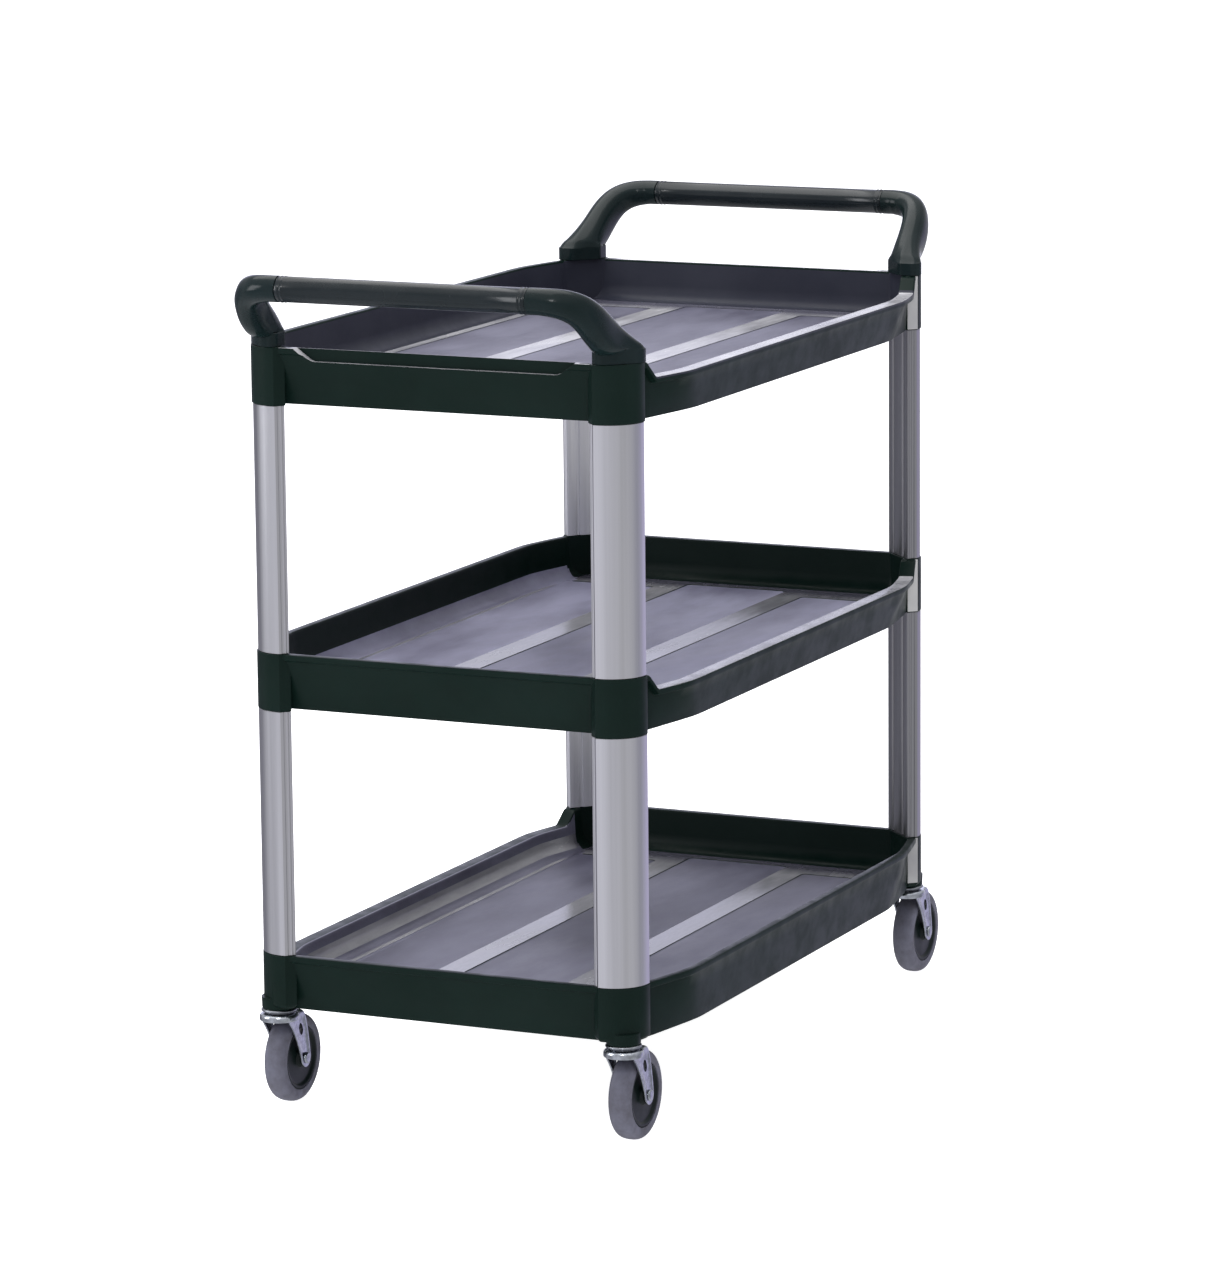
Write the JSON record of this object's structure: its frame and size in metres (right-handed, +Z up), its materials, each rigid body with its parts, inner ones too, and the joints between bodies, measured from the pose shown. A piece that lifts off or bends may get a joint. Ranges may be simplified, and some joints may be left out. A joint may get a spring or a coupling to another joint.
{
  "type": "food service trolley",
  "caption": "Three shelf catering trolley with moulded plastic trays, aluminium corner posts, a push handle at both ends and swivel casters.",
  "frame": {"origin": "on the floor under the centre of the trolley", "axes": "+Z up, +Y along the length towards the far handle, +X across the width towards the side that is low on the top and middle trays"},
  "size_m": [0.51, 1.0418, 0.9605],
  "materials": {
    "black_plastic": "fine textured moulded polypropylene, near black, with a soft sheen",
    "grip_plastic": "smooth near black grip sleeve",
    "satin_aluminium": "satin anodised extrusion with fine lengthwise grooves",
    "zinc_plate": "bright zinc plated pressed steel",
    "grey_rubber": "grey non-marking tread",
    "black_hub": "black moulded wheel centre"
  },
  "bodies": {
    "trolley_frame": {"top_shelf": "black_plastic", "middle_shelf": "black_plastic", "bottom_shelf": "black_plastic", "upper_upright_near_left": "satin_aluminium", "upper_upright_near_right": "satin_aluminium", "upper_upright_far_left": "satin_aluminium", "upper_upright_far_right": "satin_aluminium", "lower_upright_near_left": "satin_aluminium", "lower_upright_near_right": "satin_aluminium", "lower_upright_far_left": "satin_aluminium", "lower_upright_far_right": "satin_aluminium", "handle_near": "black_plastic", "grip_sleeve_near": "grip_plastic", "handle_far": "black_plastic", "grip_sleeve_far": "grip_plastic", "caster_stem_near_left": "zinc_plate", "ball_ring_near_left": "zinc_plate", "caster_stem_near_right": "zinc_plate", "ball_ring_near_right": "zinc_plate", "caster_stem_far_left": "zinc_plate", "ball_ring_far_left": "zinc_plate", "caster_stem_far_right": "zinc_plate", "ball_ring_far_right": "zinc_plate"},
    "swivel_near_left": {"caster_fork_near_left": "zinc_plate", "axle_bolt_near_left": "zinc_plate", "axle_nut_near_left": "zinc_plate"},
    "wheel_near_left": {"wheel_hub_near_left": "black_hub", "tyre_near_left": "grey_rubber"},
    "swivel_near_right": {"caster_fork_near_right": "zinc_plate", "axle_bolt_near_right": "zinc_plate", "axle_nut_near_right": "zinc_plate"},
    "wheel_near_right": {"wheel_hub_near_right": "black_hub", "tyre_near_right": "grey_rubber"},
    "swivel_far_left": {"caster_fork_far_left": "zinc_plate", "axle_bolt_far_left": "zinc_plate", "axle_nut_far_left": "zinc_plate"},
    "wheel_far_left": {"wheel_hub_far_left": "black_hub", "tyre_far_left": "grey_rubber"},
    "swivel_far_right": {"caster_fork_far_right": "zinc_plate", "axle_bolt_far_right": "zinc_plate", "axle_nut_far_right": "zinc_plate"},
    "wheel_far_right": {"wheel_hub_far_right": "black_hub", "tyre_far_right": "grey_rubber"}
  },
  "joints": [
    {"name": "swivel_turn_near_left", "type": "hinge", "parent": "trolley_frame", "child": "swivel_near_left", "pos_m": [-0.214, -0.4205, 0.11], "axis": [0, 0, 1], "continuous": true},
    {"name": "wheel_spin_near_left", "type": "hinge", "parent": "swivel_near_left", "child": "wheel_near_left", "pos_m": [-0.214, -0.3905, 0.0508], "axis": [1, 0, 0], "continuous": true},
    {"name": "swivel_turn_near_right", "type": "hinge", "parent": "trolley_frame", "child": "swivel_near_right", "pos_m": [0.214, -0.4205, 0.11], "axis": [0, 0, 1], "continuous": true},
    {"name": "wheel_spin_near_right", "type": "hinge", "parent": "swivel_near_right", "child": "wheel_near_right", "pos_m": [0.214, -0.3905, 0.0508], "axis": [1, 0, 0], "continuous": true},
    {"name": "swivel_turn_far_left", "type": "hinge", "parent": "trolley_frame", "child": "swivel_far_left", "pos_m": [-0.214, 0.4205, 0.11], "axis": [0, 0, 1], "continuous": true},
    {"name": "wheel_spin_far_left", "type": "hinge", "parent": "swivel_far_left", "child": "wheel_far_left", "pos_m": [-0.214, 0.4505, 0.0508], "axis": [1, 0, 0], "continuous": true},
    {"name": "swivel_turn_far_right", "type": "hinge", "parent": "trolley_frame", "child": "swivel_far_right", "pos_m": [0.214, 0.4205, 0.11], "axis": [0, 0, 1], "continuous": true},
    {"name": "wheel_spin_far_right", "type": "hinge", "parent": "swivel_far_right", "child": "wheel_far_right", "pos_m": [0.214, 0.4505, 0.0508], "axis": [1, 0, 0], "continuous": true}
  ]
}
